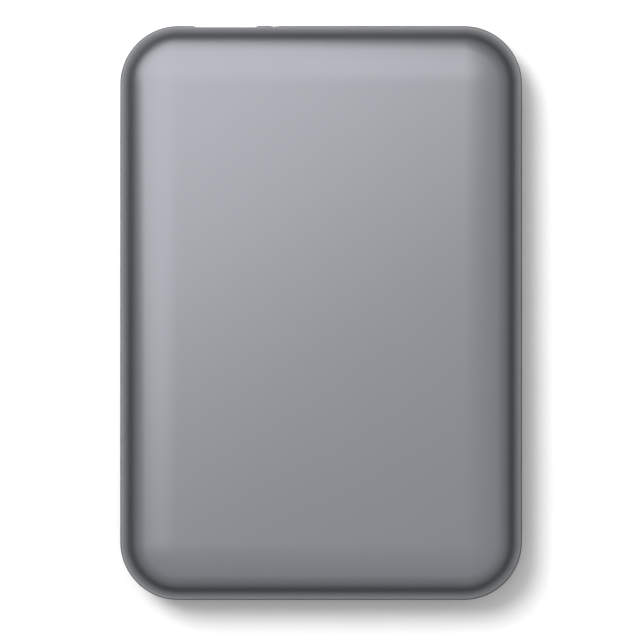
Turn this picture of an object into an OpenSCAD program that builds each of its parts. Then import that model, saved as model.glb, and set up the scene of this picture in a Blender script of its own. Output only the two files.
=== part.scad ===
// A pocket external hard drive, lying on its back, in millimetres.
// +Z is up, the port is in the +Y end, and the origin is the middle of the underside.
// The housing is sized round the drive inside it, and the drive round its discs.

/* [Housing] */
// Wall of both halves
wall_t = 1.6; // [1.3:0.05:1.9]
// Room between the drive's long side and the wall
side_gap = 3.475; // [3.2:0.025:6]
// Room between the drive's plain end and the wall
far_gap = 3.8; // [3.4:0.1:6]
// Room between the drive's plug end and the wall
port_gap = 6.95; // [6.8:0.05:10]
// Room above and below the drive
lid_gap = 2.3; // [2.1:0.1:4]
// Corner radius in plan, which is also how wide the rounded shoulder is
corner_r = 11.6; // [10.5:0.1:12.5]
// Slope at which the soft shoulder turns into the tighter edge
shoulder_angle = 15; // [10:1:22]

/* [Seam] */
// How far the top half stands back from the bottom half
lip_step = 0.2; // [0.1:0.02:0.3]
// Shadow gap between the two rims
seam_gap = 0.24; // [0.15:0.01:0.4]
// Thickness of the top half's lip outside the tongue
lip_t = 1; // [0.9:0.05:1.1]
// Thickness of the tongue on the bottom half
tongue_t = 0.7; // [0.6:0.05:0.9]
// Height of the tongue above the seam
tongue_h = 1.4; // [1.1:0.1:1.7]
// Clearance round the tongue
tongue_fit = 0.1; // [0.06:0.01:0.15]
// Radius of a snap bead on the tongue
bead_r = 0.3; // [0.2:0.02:0.36]
// Length of a snap bead
bead_l = 8; // [5:0.5:12]

/* [Ribs and bumpers] */
// Thickness of the ribs inside both halves
rib_t = 0.9; // [0.7:0.1:1.2]
// Air between the ribs and the drive
rib_air = 0.3; // [0.2:0.05:0.5]
// Spacing of the cross ribs
rib_pitch = 26; // [20:1:30]
// How far a rubber bumper reaches over the drive's face
bumper_lap = 8; // [5:0.5:10]
// How far a rubber bumper runs along the drive's side
bumper_run = 13; // [9:0.5:16]
// Clearance between a bumper and the walls
bumper_fit = 0.15; // [0.1:0.05:0.3]
// Clearance between a bumper and the drive
drive_fit = 0.05; // [0.03:0.01:0.1]

/* [Port and light] */
// Middle of the port, left of the middle of the end
port_x = -19; // [-21:0.5:-17]
// Width of the socket's metal sleeve
usb_w = 12.2; // [11.8:0.1:12.6]
// Height of the socket's metal sleeve
usb_h = 2.6; // [2.4:0.1:3]
// Length of the socket's metal sleeve
usb_l = 5.6; // [5.2:0.1:6]
// Sheet thickness of the sleeve
usb_t = 0.25; // [0.2:0.01:0.3]
// How deep the socket's mouth sits inside the end face
usb_recess = 0.5; // [0.4:0.05:0.8]
// Clearance round the socket in the wall
port_fit = 0.2; // [0.1:0.05:0.3]
// Corner radius of the hole for the socket
port_corner_r = 0.6; // [0.4:0.1:1]
// Middle of the light, left of the middle of the end
light_x = -9.2; // [-10:0.1:-8.5]
// Radius of the light pipe
light_r = 0.9; // [0.7:0.05:1]

/* [Bridge board] */
// Thickness of the board
bridge_t = 1; // [0.8:0.1:1.2]
// Half of the board's width
bridge_half_w = 28; // [27.5:0.1:28.3]
// Gap between the drive's end and the board
bridge_front_gap = 0.4; // [0.3:0.05:0.6]
// Gap between the board and the end wall
bridge_end_gap = 0.9; // [0.8:0.05:1.2]
// Height of the plug-in connector's body
receptacle_h = 3.2; // [3:0.1:3.5]
// How much of the connector's body stands on the board
receptacle_seat = 1.6; // [1.4:0.1:1.8]
// Radius of the posts that carry the board
post_r = 1.5; // [1.3:0.1:1.8]
// Radius of the pins on the posts
pin_r = 0.55; // [0.45:0.05:0.65]
// Side of the bridge chip
bridge_chip_w = 5; // [4:0.25:5.5]
// Height of the bridge chip
bridge_chip_h = 0.85; // [0.7:0.05:1]
// Length of the firmware chip's body
flash_l = 4; // [3.5:0.25:5]
// Width of the firmware chip's body
flash_w = 3.2; // [2.8:0.2:4]
// Height of the firmware chip
flash_h = 0.75; // [0.6:0.05:0.9]
// Length of the crystal's can
crystal_l = 3.2; // [2.5:0.1:4]
// Width of the crystal's can
crystal_w = 2.5; // [2:0.1:3]
// Height of the crystal's can
crystal_h = 0.7; // [0.5:0.05:0.9]
// Length of a capacitor
passive_l = 1.8; // [1.4:0.1:2]
// Width of a capacitor
passive_w = 1; // [0.8:0.1:1.2]
// Height of a capacitor
passive_h = 0.45; // [0.35:0.05:0.6]
// Spacing of the capacitors
passive_pitch = 2.6; // [2:0.1:3]

/* [Shielding foil] */
// Thickness of the foil
foil_t = 0.12; // [0.1:0.01:0.2]
// Half of the foil's width
foil_half_w = 25; // [22:0.5:27]
// How far the foil lies on the drive's cover
foil_lap = 7; // [5:0.5:9]
// How far past the drive's end the foil bends down
foil_bend = 1.2; // [0.8:0.1:1.6]
// How far the foil comes down over the bridge board
foil_drop = 1.4; // [1:0.1:1.6]

/* [Drive casting] */
// Radius of the well wall beyond the discs
shroud_gap = 0.5; // [0.4:0.05:0.8]
// Side wall of the casting
base_wall = 1.925; // [1.8:0.025:2.5]
// Wall behind the discs at the plain end
base_end_wall = 2; // [1.8:0.1:3]
// Corner radius of the casting in plan
base_corner_r = 3; // [2:0.25:4]
// Floor of the well
floor_t = 0.55; // [0.45:0.05:0.8]
// Room between the coil's sweep and the casting's plug end
coil_end_room = 5.35; // [5.2:0.05:7]
// Cover plate
cover_t = 0.5; // [0.4:0.05:0.7]
// Gasket under the cover
gasket_t = 0.15; // [0.1:0.05:0.3]
// Room between the top arm and the cover
cover_air = 0.55; // [0.5:0.05:0.9]
// Shank radius of the small screws
screw_r = 0.7; // [0.5:0.05:0.8]
// Running and fitting clearance round pins and screws
fit = 0.02; // [0.015:0.005:0.04]

/* [Discs] */
// Radius of a disc
platter_r = 32.5; // [31:0.25:34]
// Radius of a disc's centre hole
platter_bore_r = 10; // [9.8:0.05:10.2]
// Thickness of a disc
platter_t = 0.6; // [0.5:0.05:0.8]
// Radius of the spindle shaft
shaft_r = 1.5; // [1.3:0.05:1.7]
// Outer radius of the spindle sleeve
sleeve_r = 3.6; // [3.4:0.05:3.8]
// Wall of the boss round the sleeve
boss_wall = 0.58; // [0.5:0.02:0.7]
// Flange under the lower disc
hub_flange = 1.85; // [1.4:0.05:2.2]
// Number of stator teeth
teeth = 9; // [6:3:12]
// Number of clamp screws
clamp_screws_n = 6; // [3:1:8]

/* [Arms] */
// Distance from the spindle to the pivot
pivot_d = 45.54; // [45:0.1:47]
// Angle of the pivot away from the drive's middle line
pivot_angle = 19.23; // [18.5:0.1:20]
// Distance from the pivot to a head
arm_l = 38; // [37:0.1:38.6]
// Radius at which the heads park, beyond the discs' edge
park_gap = 3; // [2.8:0.1:3.4]
// Radius of the innermost track
inner_track_r = 14.5; // [13.5:0.1:16]
// Outer radius of the arms' hub
arm_hub_r = 5.6; // [5.3:0.1:5.8]
// Thickness of the outer arms
arm_t = 0.4; // [0.35:0.05:0.5]
// Thickness of the middle arm
mid_arm_t = 0.6; // [0.5:0.05:0.8]
// Thickness of a suspension
beam_t = 0.1; // [0.08:0.01:0.15]
// Thickness of a slider
slider_t = 0.28; // [0.22:0.02:0.32]
// Air between a slider and its disc
fly_gap = 0.07; // [0.05:0.01:0.1]
// Air between the lowest arm and the floor
arm_air = 0.1; // [0.08:0.01:0.2]
// Outer radius of the pivot shaft
pivot_r = 1.5; // [1.3:0.05:1.6]

/* [Voice coil motor] */
// Outer radius of the coil, from the pivot
coil_r = 17; // [16.5:0.1:17.1]
// Half of the angle that the coil spans
coil_half_angle = 18; // [16:0.5:18.5]
// Thickness of the coil
coil_t = 2; // [1.8:0.1:2.2]
// Air between the coil and a magnet
coil_air = 0.15; // [0.12:0.01:0.2]
// Thickness of a magnet
magnet_t = 0.6; // [0.5:0.05:0.65]
// Width of the coil's fork at each side, as an angle
fork_angle = 3.5; // [3:0.25:4]
// How far the yokes reach beyond the coil
yoke_rim = 0.6; // [0.4:0.05:0.8]
// Room between the yokes and the casting's long side
yoke_gap = 0.3; // [0.2:0.05:0.4]

/* [Drive board] */
// Thickness of the drive's board
board_t = 0.6; // [0.5:0.05:0.7]
// How far the board sits inside the underside
board_drop = 0.15; // [0.1:0.05:0.3]
// Gap between the board and the casting
board_gap = 0.15; // [0.1:0.05:0.2]
// Clearance round the board in its recess
board_fit = 0.2; // [0.15:0.05:0.3]
// How far the board stays inside the casting's outline
board_inset = 1.2; // [1.1:0.1:1.6]
// How far the board reaches from the pivot to the plain end
board_reach = 37.8; // [37.6:0.1:38.2]
// Radius of the board's cut-out round the spindle
board_ring_r = 15.4; // [15:0.1:16]
// Radius of a board screw's head
board_head_r = 1.25; // [1.15:0.05:1.4]
// Length of a board screw in the casting
board_screw_l = 1.8; // [1.5:0.1:2]
// Height of the chips on the drive's board
chip_h = 0.6; // [0.5:0.05:0.7]
// Side of the motor driver
driver_w = 4; // [3.5:0.25:4.5]
// Side of the controller
controller_w = 6; // [5.5:0.25:6.5]
// Width of the memory chip
memory_w = 5; // [4.5:0.25:5.5]
// Length of the memory chip
memory_l = 6; // [5.5:0.25:6.5]
// Room between two chips
chip_space = 2.75; // [2.4:0.05:3]
// Room between the largest chip and its pocket's edge
chip_edge = 0.3; // [0.2:0.05:0.4]
// Distance from the pivot to the chips' pocket
pocket_start = 7.2; // [7:0.1:7.4]
// Wall between the chips' pocket and the plug's notch
pocket_wall = 1; // [0.8:0.05:1.2]
// Depth of the notch that holds the plug
plug_depth = 7.35; // [7:0.05:7.6]
// Thickness of the plug's back wall
plug_back_t = 2.1; // [1.8:0.1:2.2]
// Thickness of the plug's side walls
plug_side_t = 1.6; // [1.4:0.1:1.8]
// Middle of the drive's plug, right of its middle line
plug_x = 8; // [7.5:0.1:8.5]
// Half of the plug's width
plug_half_w = 20.8; // [20.5:0.1:21]
// Thickness of the plug's tongues
plug_tongue_t = 1.2; // [1:0.05:1.3]
// Spacing of the contacts
contact_pitch = 1.27; // [1.2:0.01:1.3]
// Contacts of the plug's signal part
signal_n = 7; // [7:1:7]
// Contacts of the plug's power part
power_n = 15; // [15:1:15]
// Width of a contact strip
strip_w = 0.6; // [0.5:0.05:0.7]
// Thickness of a contact strip
strip_t = 0.08; // [0.06:0.01:0.1]

/* [Hidden] */
$fn = 72;

// Heights inside the drive, from its underside up
board_top = board_drop + board_t;
floor_z = board_top + board_gap;
well_z = floor_z + floor_t;
arm1_z = well_z + arm_air;
beam1_z = arm1_z + arm_t;
slider1_z = beam1_z + beam_t;
disc1_z = slider1_z + slider_t + fly_gap;
disc1_top = disc1_z + platter_t;
slider2_z = disc1_top + fly_gap;
beam2_z = slider2_z + slider_t;
arm2_z = beam2_z + beam_t;
beam3_z = arm2_z + mid_arm_t;
slider3_z = beam3_z + beam_t;
disc2_z = slider3_z + slider_t + fly_gap;
disc2_top = disc2_z + platter_t;
slider4_z = disc2_top + fly_gap;
beam4_z = slider4_z + slider_t;
arm3_z = beam4_z + beam_t;
stack_top = arm3_z + arm_t;
cover_z = stack_top + cover_air;
rim_z = cover_z - gasket_t;
drive_h = cover_z + cover_t;

// A size as a drawing gives it, to a fortieth of a millimetre
function drawn(v) = round(v * 40) / 40;

// Plan of the drive, with the spindle at its origin and the plug towards +Y
shroud_r = platter_r + shroud_gap;
pivot = [-drawn(pivot_d * sin(pivot_angle)), drawn(pivot_d * cos(pivot_angle))];
// The well is as wide as the discs, or as the yokes where they reach further
yoke_r = coil_r + yoke_rim;
well_half_w = max(shroud_r, yoke_r + yoke_gap - pivot[0]);
drive_w = 2 * drawn(well_half_w + base_wall);
far_y = -(shroud_r + base_end_wall);
// The plug's end has room for the coil, and for the chips between the pivot and the plug
chip_room = pocket_start + max(driver_w, controller_w, memory_l) + 2 * chip_edge + pocket_wall;
end_y = pivot[1] + max(coil_r + coil_end_room, chip_room + plug_depth);
drive_l = end_y - far_y;
notch_y = end_y - plug_depth;

// The arms' angles about the pivot, by the law of cosines
park_r = platter_r + park_gap;
to_spindle = atan2(-pivot[1], -pivot[0]);
function reach_angle(r) = acos((pivot_d * pivot_d + arm_l * arm_l - r * r) / (2 * pivot_d * arm_l));
park_dir = to_spindle + reach_angle(park_r);
swing = reach_angle(park_r) - reach_angle(inner_track_r);
coil_dir = park_dir - 180;
fork_half = coil_half_angle + 0.4 + fork_angle;
stop_r = 12;
stop_sleeve_r = 1.2;
stop_lead = asin((stop_sleeve_r + 0.12) / stop_r);
stop_dirs = [coil_dir + fork_half + stop_lead, coil_dir - swing - fork_half - stop_lead];
yoke_mid = coil_dir - swing / 2;

// The housing round the drive
body_w = 2 * drawn(drive_w / 2 + side_gap + wall_t);
body_l = 2 * drawn((drive_l + far_gap + port_gap) / 2 + wall_t);
body_h = drive_h + 2 * (lid_gap + wall_t);
mid_z = body_h / 2;
end_wall_y = body_l / 2 - wall_t;
spindle_y = end_wall_y - port_gap - end_y;
drive_z = wall_t + lid_gap;
drive_end_y = spindle_y + end_y;
rim_low = mid_z - seam_gap / 2;
rim_high = mid_z + seam_gap / 2;
clear_inset = max(wall_t, lip_t + tongue_t) + bumper_fit;

// The shoulder's two arcs: a big soft one that meets a tighter edge arc tangentially
function arc_spread(w, h) = (w - h) / (sin(shoulder_angle) - 1 + cos(shoulder_angle));
function edge_arc_r(w, h) = h - (1 - cos(shoulder_angle)) * arc_spread(w, h);
function soft_arc_r(w, h) = edge_arc_r(w, h) + arc_spread(w, h);
function shoulder_h(w, h, x) = x < soft_arc_r(w, h) * sin(shoulder_angle)
  ? h - soft_arc_r(w, h) + sqrt(pow(soft_arc_r(w, h), 2) - x * x)
  : sqrt(pow(edge_arc_r(w, h), 2) - pow(x - w + edge_arc_r(w, h), 2));

// The bridge board and what stands on it
bridge_z = mid_z - usb_h / 2;
bridge_y0 = drive_end_y + bridge_front_gap;
bridge_y1 = end_wall_y - bridge_end_gap;
usb_front = body_l / 2 - usb_recess;
receptacle_y1 = bridge_y0 + receptacle_seat;
post_x = bridge_half_w - 1.3;
post_y = (bridge_y0 + bridge_y1) / 2;
// The height of the lower wall's middle where the posts stand
post_z = mid_z - shoulder_h(corner_r - wall_t / 2, mid_z - wall_t / 2, post_y - body_l / 2 + corner_r);
tongue_z = bridge_z + receptacle_h / 2;
signal_x = plug_x - 11.6;
power_x = plug_x + 6.4;
signal_half = 5.2;
power_half = 10.4;
receptacle_half = signal_half + power_half + 3;
// The parts under the bridge board, from the middle out to the right
flash_x = 3;
chip_x = flash_x + flash_l / 2 + 0.6 + 3.9 + bridge_chip_w / 2;
crystal_x = chip_x + bridge_chip_w / 2 + 3.25 + crystal_w / 2;

// What the spindle, the pivot and the coil are built from
hub_top = disc2_top - 0.05;
hub_plate_z = disc2_z - 0.2;
pivot_top = cover_z - 0.05;
bearing_h = 1.1;
bearing_r = 3.28;
sleeve_wall = 0.6;
coil_r0 = 9.8;
coil_z0 = (arm1_z + stack_top - coil_t) / 2;
yoke_t = coil_z0 - coil_air - magnet_t - well_z;
upper_magnet_z = coil_z0 + coil_t + coil_air;

// A rectangle with round corners
module rounded_rect(w, l, r) {
  square([w - 2 * r, l], center = true);
  square([w, l - 2 * r], center = true);
  for (x = [-1, 1], y = [-1, 1])
    translate([x * (w / 2 - r), y * (l / 2 - r)]) circle(r = r);
}

// A stretch of a ring between two radii and two angles, under a half turn
module sector(r0, r1, a0, a1) {
  far = 2 * r1;
  intersection() {
    difference() {
      circle(r = r1);
      circle(r = r0);
    }
    polygon([[0, 0], far * [cos(a0), sin(a0)],
      far * [cos((a0 + a1) / 2), sin((a0 + a1) / 2)], far * [cos(a1), sin(a1)]]);
  }
}

// A straight-sided block between two heights
module slab(z0, z1) {
  translate([0, 0, z0]) linear_extrude(z1 - z0) children();
}

// A box from its lowest to its highest corner
module block(low, high) {
  translate(low) cube(high - low);
}

// Half of the housing's section, from where the shoulder starts out to the edge
module shoulder_section(w, h) {
  edge_r = edge_arc_r(w, h);
  soft_r = soft_arc_r(w, h);
  intersection() {
    translate([0, -h]) square([w, 2 * h]);
    union() {
      intersection() {
        translate([0, h - soft_r]) circle(r = soft_r);
        translate([0, soft_r - h]) circle(r = soft_r);
        translate([0, -h]) square([soft_r * sin(shoulder_angle), 2 * h]);
      }
      translate([w - edge_r, 0]) circle(r = edge_r);
    }
  }
}

// One corner of the pillow form, from the housing's edge in to two given lengths
module pillow_corner(inset, drop, run_x, run_y) {
  w = corner_r - inset;
  h = mid_z - drop;
  translate([body_w / 2 - corner_r, body_l / 2 - corner_r, mid_z]) {
    rotate_extrude(angle = 90) shoulder_section(w, h);
    rotate([90, 0, 0]) linear_extrude(run_y - corner_r) shoulder_section(w, h);
    rotate([90, 0, -90]) mirror([1, 0]) linear_extrude(run_x - corner_r) shoulder_section(w, h);
    translate([corner_r - run_x, corner_r - run_y, -h]) cube([run_x - corner_r, run_y - corner_r, 2 * h]);
  }
}

// The pillow form of the housing, drawn in by a margin at the sides and at the faces
module pillow(inset, drop) {
  w = corner_r - inset;
  h = mid_z - drop;
  x = body_w / 2 - corner_r;
  y = body_l / 2 - corner_r;
  translate([0, 0, mid_z]) {
    cube([2 * x, 2 * y, 2 * h], center = true);
    for (turn = [0, 180]) rotate([0, 0, turn]) {
      translate([x, y, 0]) rotate_extrude(angle = 90) shoulder_section(w, h);
      translate([-x, y, 0]) rotate([0, 0, 90]) rotate_extrude(angle = 90) shoulder_section(w, h);
      translate([x, y, 0]) rotate([90, 0, 0]) linear_extrude(2 * y) shoulder_section(w, h);
      translate([-x, y, 0]) rotate([90, 0, 90]) linear_extrude(2 * x) shoulder_section(w, h);
    }
  }
}

// The outline of the housing in plan, drawn in by a margin
module plan(inset) {
  rounded_rect(body_w - 2 * inset, body_l - 2 * inset, corner_r - inset);
}

module in_drive() {
  translate([0, spindle_y, drive_z]) children();
}

module about_pivot() {
  translate(pivot) children();
}

// Everything that passes through the port end
module port_cuts() {
  translate([port_x, end_wall_y - 3, mid_z]) rotate([-90, 0, 0]) linear_extrude(wall_t + 4)
    rounded_rect(usb_w + 2 * port_fit, usb_h + 2 * port_fit, port_corner_r);
  translate([light_x, end_wall_y - 3, mid_z]) rotate([-90, 0, 0])
    cylinder(r = light_r + fit, h = wall_t + 4);
}

// The snap beads along the tongue, or their pockets when swollen
module beads(r, l) {
  z = mid_z + 0.55 * tongue_h;
  x = body_w / 2 - lip_t - 0.08;
  y = body_l / 2 - lip_t - 0.08;
  for (side = [-1, 1], step = [-1, 0, 1])
    translate([side * x, step * 32, z]) rotate([90, 0, 0]) cylinder(r = r, h = l, center = true);
  for (side = [-1, 1])
    translate([side * 14, -y, z]) rotate([0, 90, 0]) cylinder(r = r, h = l, center = true);
}

// The lattice of ribs that stops a face from being pushed onto the drive
module ribs(z0, z1) {
  reach_x = drive_w / 2 - bumper_lap - 3;
  reach_y = drive_l / 2 - bumper_run - 6;
  translate([0, drive_end_y - drive_l / 2, 0]) slab(z0, z1) {
    for (x = [-0.4, 0.4]) translate([x * reach_x, 0]) square([rib_t, 2 * reach_y], center = true);
    for (i = [-1, 0, 1]) translate([0, i * rib_pitch]) square([2 * reach_x, rib_t], center = true);
  }
}

module top_shell() {
  color("darkgray") difference() {
    union() {
      difference() {
        intersection() {
          pillow(lip_step, 0);
          slab(rim_high, body_h + 1) square([2 * body_w, 2 * body_l], center = true);
        }
        pillow(wall_t, wall_t);
      }
      ribs(drive_z + drive_h + rib_air, body_h - wall_t / 2);
    }
    slab(mid_z - 1, mid_z + tongue_h + 2 * tongue_fit) difference() {
      plan(lip_t - tongue_fit);
      plan(lip_t + tongue_t + 2 * tongue_fit);
    }
    beads(bead_r + tongue_fit, bead_l + 1);
    port_cuts();
  }
}

module bottom_shell() {
  color("darkgray") difference() {
    union() {
      difference() {
        intersection() {
          pillow(0, 0);
          slab(-1, rim_low) square([2 * body_w, 2 * body_l], center = true);
        }
        pillow(wall_t, wall_t);
      }
      slab(rim_low - 0.5, mid_z + tongue_h) difference() {
        plan(lip_t);
        plan(lip_t + tongue_t);
      }
      beads(bead_r, bead_l);
      ribs(wall_t / 2, drive_z - rib_air);
      for (side = [-1, 1]) translate([side * post_x, post_y, 0]) {
        slab(post_z, bridge_z - bridge_t - 0.05) circle(r = post_r);
        slab(post_z, bridge_z + 0.4) circle(r = pin_r);
      }
    }
    port_cuts();
  }
}

module light_pipe() {
  color("whitesmoke") {
    translate([light_x, end_wall_y - 0.3, mid_z]) rotate([-90, 0, 0])
      cylinder(r = light_r, h = wall_t + 0.1);
    block([light_x - 1.2, bridge_y1 - 0.15, bridge_z + 0.05],
      [light_x + 1.2, end_wall_y - 0.2, mid_z + light_r]);
  }
}

// Takes the drive, with its clearance, out of a bumper
module around_drive() {
  difference() {
    children();
    in_drive() slab(-drive_fit, drive_h + drive_fit)
      translate([0, (end_y + far_y) / 2])
        rounded_rect(drive_w + 2 * drive_fit, drive_l + 2 * drive_fit, base_corner_r);
  }
}

// A moulded rubber corner that fills the room between the drive's plain end and the walls
module far_bumper() {
  around_drive() mirror([0, 1, 0])
    pillow_corner(clear_inset, wall_t + bumper_fit, side_gap + wall_t + bumper_lap,
      far_gap + wall_t + bumper_run);
}

// At the plug end the rubber lies along the drive's side only
module port_bumper() {
  w = corner_r - clear_inset;
  h = mid_z - wall_t - bumper_fit;
  run = side_gap + wall_t + bumper_lap - corner_r;
  around_drive() translate([body_w / 2 - corner_r, drive_end_y - 3.5, mid_z])
    rotate([90, 0, 0]) linear_extrude(bumper_run) {
      shoulder_section(w, h);
      translate([-run, -h]) square([run, 2 * h]);
    }
}

module bumper_port_left() {
  color("dimgray") mirror([1, 0, 0]) port_bumper();
}

module bumper_port_right() {
  color("dimgray") port_bumper();
}

module bumper_far_left() {
  color("dimgray") mirror([1, 0, 0]) far_bumper();
}

module bumper_far_right() {
  color("dimgray") far_bumper();
}

// A flat-topped part that hangs from the bridge board's lower face
module under_bridge(x, h) {
  translate([x, post_y, bridge_z - bridge_t - h]) linear_extrude(h) children();
}

// A bent foil sheet that lies on the drive's cover and leans over the bridge board
module shield_foil() {
  top = drive_z + drive_h + fit;
  y = [drive_end_y - foil_lap, drive_end_y + foil_bend, bridge_y1 - bridge_front_gap];
  color("silver") translate([-foil_half_w, 0, 0]) rotate([90, 0, 90])
    linear_extrude(2 * foil_half_w)
      polygon([[y[0], top], [y[1], top], [y[2], top - foil_drop],
        [y[2], top - foil_drop + foil_t], [y[1], top + foil_t], [y[0], top + foil_t]]);
}

module bridge_board() {
  color("darkgreen") difference() {
    slab(bridge_z - bridge_t, bridge_z)
      translate([-bridge_half_w, bridge_y0])
        square([2 * bridge_half_w, bridge_y1 - bridge_y0]);
    for (side = [-1, 1]) translate([side * post_x, post_y, 0])
      cylinder(r = pin_r + 0.1, h = body_h);
  }
}

module bridge_chip() {
  color("black") under_bridge(chip_x, bridge_chip_h) rounded_rect(bridge_chip_w, bridge_chip_w, 0.2);
}

// The firmware chip stands on four leads at each side, a little below the board
module bridge_flash() {
  lead = [0.8, 0.3, 0.2];
  color("black") {
    translate([0, 0, -lead[2] / 2]) under_bridge(flash_x, flash_h - lead[2] / 2)
      square([flash_l, flash_w], center = true);
    for (side = [-1, 1], i = [-1.5 : 1.5])
      translate([flash_x + side * (flash_l / 2 + 0.3), post_y + i * flash_w / 4,
        bridge_z - bridge_t - lead[2] / 2]) cube(lead, center = true);
  }
}

module bridge_crystal() {
  color("silver") under_bridge(crystal_x, crystal_h) rounded_rect(crystal_w, crystal_l, 0.4);
}

// Small capacitors and resistors on the board's lower face
module bridge_passives() {
  color("tan") for (i = [1 : 6])
    under_bridge(flash_x - flash_l / 2 - 3 - passive_pitch * i, passive_h)
      square([passive_w, passive_l], center = true);
}

module activity_led() {
  color("white") block([light_x - 0.8, bridge_y1 - 1.1, bridge_z],
    [light_x + 0.8, bridge_y1 - 0.3, bridge_z + 0.7]);
}

// The socket's outline: a wide part and a narrow part, joined along the top
module usb_outline(grow) {
  h = usb_h / 2 - usb_t + grow;
  w = usb_w / 2 - usb_t + grow;
  split = 0.9 - grow;
  wide = usb_w / 10;
  polygon([[-w, h], [w, h], [w, -h + 0.4], [w - 0.4, -h], [wide + split, -h], [wide + split, 0],
    [wide - split, 0], [wide - split, -h + 0.7], [wide - split - 0.7, -h],
    [-w + 0.7, -h], [-w, -h + 0.7]]);
}

module on_port(y) {
  translate([port_x, y, mid_z]) rotate([90, 0, 0]) children();
}

module usb_shell() {
  color("silver") {
    on_port(usb_front) linear_extrude(usb_l) difference() {
      usb_outline(usb_t);
      usb_outline(0);
    }
    for (side = [-1, 1])
      translate([port_x + side * (usb_w / 2 + 0.5), bridge_y1 - 1.6, bridge_z + 0.15])
        cube([1.1, 1.4, 0.3], center = true);
  }
}

// A block at the socket's back with one tongue in the wide part and one in the narrow part
module usb_tongue() {
  back_t = 1.2;
  color("black") {
    on_port(usb_front - usb_l + back_t) linear_extrude(back_t) usb_outline(-fit);
    for (t = [[-2.35, 5.2], [3.95, 2.7]]) on_port(usb_front - 0.6)
      linear_extrude(usb_l - back_t) translate([t[0], 0.35]) square([t[1], 0.6], center = true);
  }
}

module usb_contacts() {
  color("gold") {
    for (i = [-2 : 2]) on_port(usb_front - 0.8)
      translate([-2.35 + 0.65 * i - 0.15, -0.1, 0]) cube([0.3, 0.15, usb_l - 2.1]);
    for (i = [-2 : 2]) on_port(usb_front - 0.8)
      translate([3.95 + 0.5 * i - 0.12, -0.1, 0]) cube([0.24, 0.15, usb_l - 2.1]);
  }
}

// The two L-shaped tongues of the drive's plug, or their slots when swollen
module plug_tongues(grow) {
  for (t = [[signal_x, signal_half, 1], [power_x, power_half, -1]]) {
    translate([t[0], 0]) square([2 * (t[1] + grow), plug_tongue_t + 2 * grow], center = true);
    translate([t[0] + t[2] * (t[1] - 0.6), -0.55])
      square([1.2 + 2 * grow, plug_tongue_t + 1.1 + 2 * grow], center = true);
  }
}

module sata_receptacle() {
  front_y = receptacle_y1 - 6.8;
  color("black") difference() {
    slab(bridge_z, bridge_z + receptacle_h) translate([plug_x - receptacle_half, front_y])
      square([2 * receptacle_half, receptacle_y1 - front_y]);
    translate([0, front_y + 5, tongue_z]) rotate([90, 0, 0])
      linear_extrude(6) plug_tongues(0.14);
  }
}

module sata_receptacle_tails() {
  n = signal_n + power_n;
  tail = [0.4, 0.7, 0.2];
  color("gold") for (i = [0 : n - 1])
    translate([plug_x + (i - (n - 1) / 2) * contact_pitch - tail[0] / 2, receptacle_y1, bridge_z])
      cube(tail);
}

// The open well of the casting, in plan
module well() {
  room = coil_r + 1.9;
  circle(r = shroud_r);
  polygon([[-well_half_w, pivot[1] - 33], [-well_half_w, pivot[1] + 7],
    [pivot[0] - 11, pivot[1] + room - 0.9], [pivot[0] - 1, pivot[1] + room - 0.9],
    [pivot[0] - 1, notch_y - 1.4], [pivot[0] + 8, notch_y - 1.4], [pivot[0] + 13, pivot[1] + 9],
    [pivot[0] + 27, pivot[1] + 3], [shroud_r - 2, pivot[1] - 6], [shroud_r - 2, pivot[1] - 23],
    [0, 0]]);
}

// Where the six cover screws go; the last one holds the pivot's shaft
function cover_screw_points() = [
  [-(drive_w / 2 - 3.4), far_y + 3.4], [drive_w / 2 - 3.4, far_y + 3.4],
  [-(drive_w / 2 - 3.4), end_y - 3.4], [drive_w / 2 - 3.4, end_y - 3.4],
  [drive_w / 2 - 1.9, pivot[1] - 15], pivot];
function board_screw_points() = [
  [-(drive_w / 2 - 3.4), end_y - 3.4], [drive_w / 2 - 3.4, end_y - 3.4],
  [drive_w / 2 - 2.6, pivot[1] - 27.5]];
chip_pocket = [[pivot[0] + 19.6, pivot[1] + pocket_start],
  [pivot[0] + 43.8, notch_y - pocket_wall]];

module drive_plan(inset) {
  translate([0, (end_y + far_y) / 2])
    rounded_rect(drive_w - 2 * inset, drive_l - 2 * inset, base_corner_r - inset);
}

module drive_base() {
  side_hole_y = [end_y - 14, end_y - 90.6];
  color("silver") in_drive() {
    difference() {
      slab(0, rim_z) drive_plan(0);
      slab(well_z, rim_z + 1) well();
      // The board's recess in the underside
      slab(-1, floor_z) intersection() {
        drive_plan(board_inset - board_fit);
        difference() {
          translate([-drive_w / 2, pivot[1] - board_reach - board_fit]) square([drive_w, drive_l]);
          circle(r = board_ring_r - 2 * board_fit);
        }
      }
      slab(floor_z - 0.1, floor_z + chip_h - 0.05) translate(chip_pocket[0])
        square(chip_pocket[1] - chip_pocket[0]);
      // The notch for the plug
      slab(-1, rim_z - 0.55) translate([plug_x - plug_half_w - 0.2, notch_y])
        square([2 * plug_half_w + 0.4, 10]);
      // The bore for the spindle's sleeve, and a ring that lightens the underside
      slab(-1, rim_z) circle(r = sleeve_r + fit);
      slab(-1, 0.25) difference() {
        circle(r = 14);
        circle(r = 6);
      }
      air_filter_pocket(0.15);
      for (p = cover_screw_points()) if (p != pivot)
        slab(rim_z - 2.9, rim_z + 1) translate(p) circle(r = screw_r + fit);
      for (p = board_screw_points())
        slab(floor_z - 1, board_top + board_screw_l + 0.2) translate(p) circle(r = screw_r + fit);
      for (side = [-1, 1], y = side_hole_y)
        translate([side * (drive_w / 2 + 1), y, 3]) rotate([0, -side * 90, 0])
          cylinder(r = 1.25, h = 2.5);
    }
    // The boss that carries the stator
    slab(well_z - 0.2, disc1_z + 0.9) difference() {
      circle(r = sleeve_r + boss_wall);
      circle(r = sleeve_r + fit);
    }
  }
}

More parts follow.
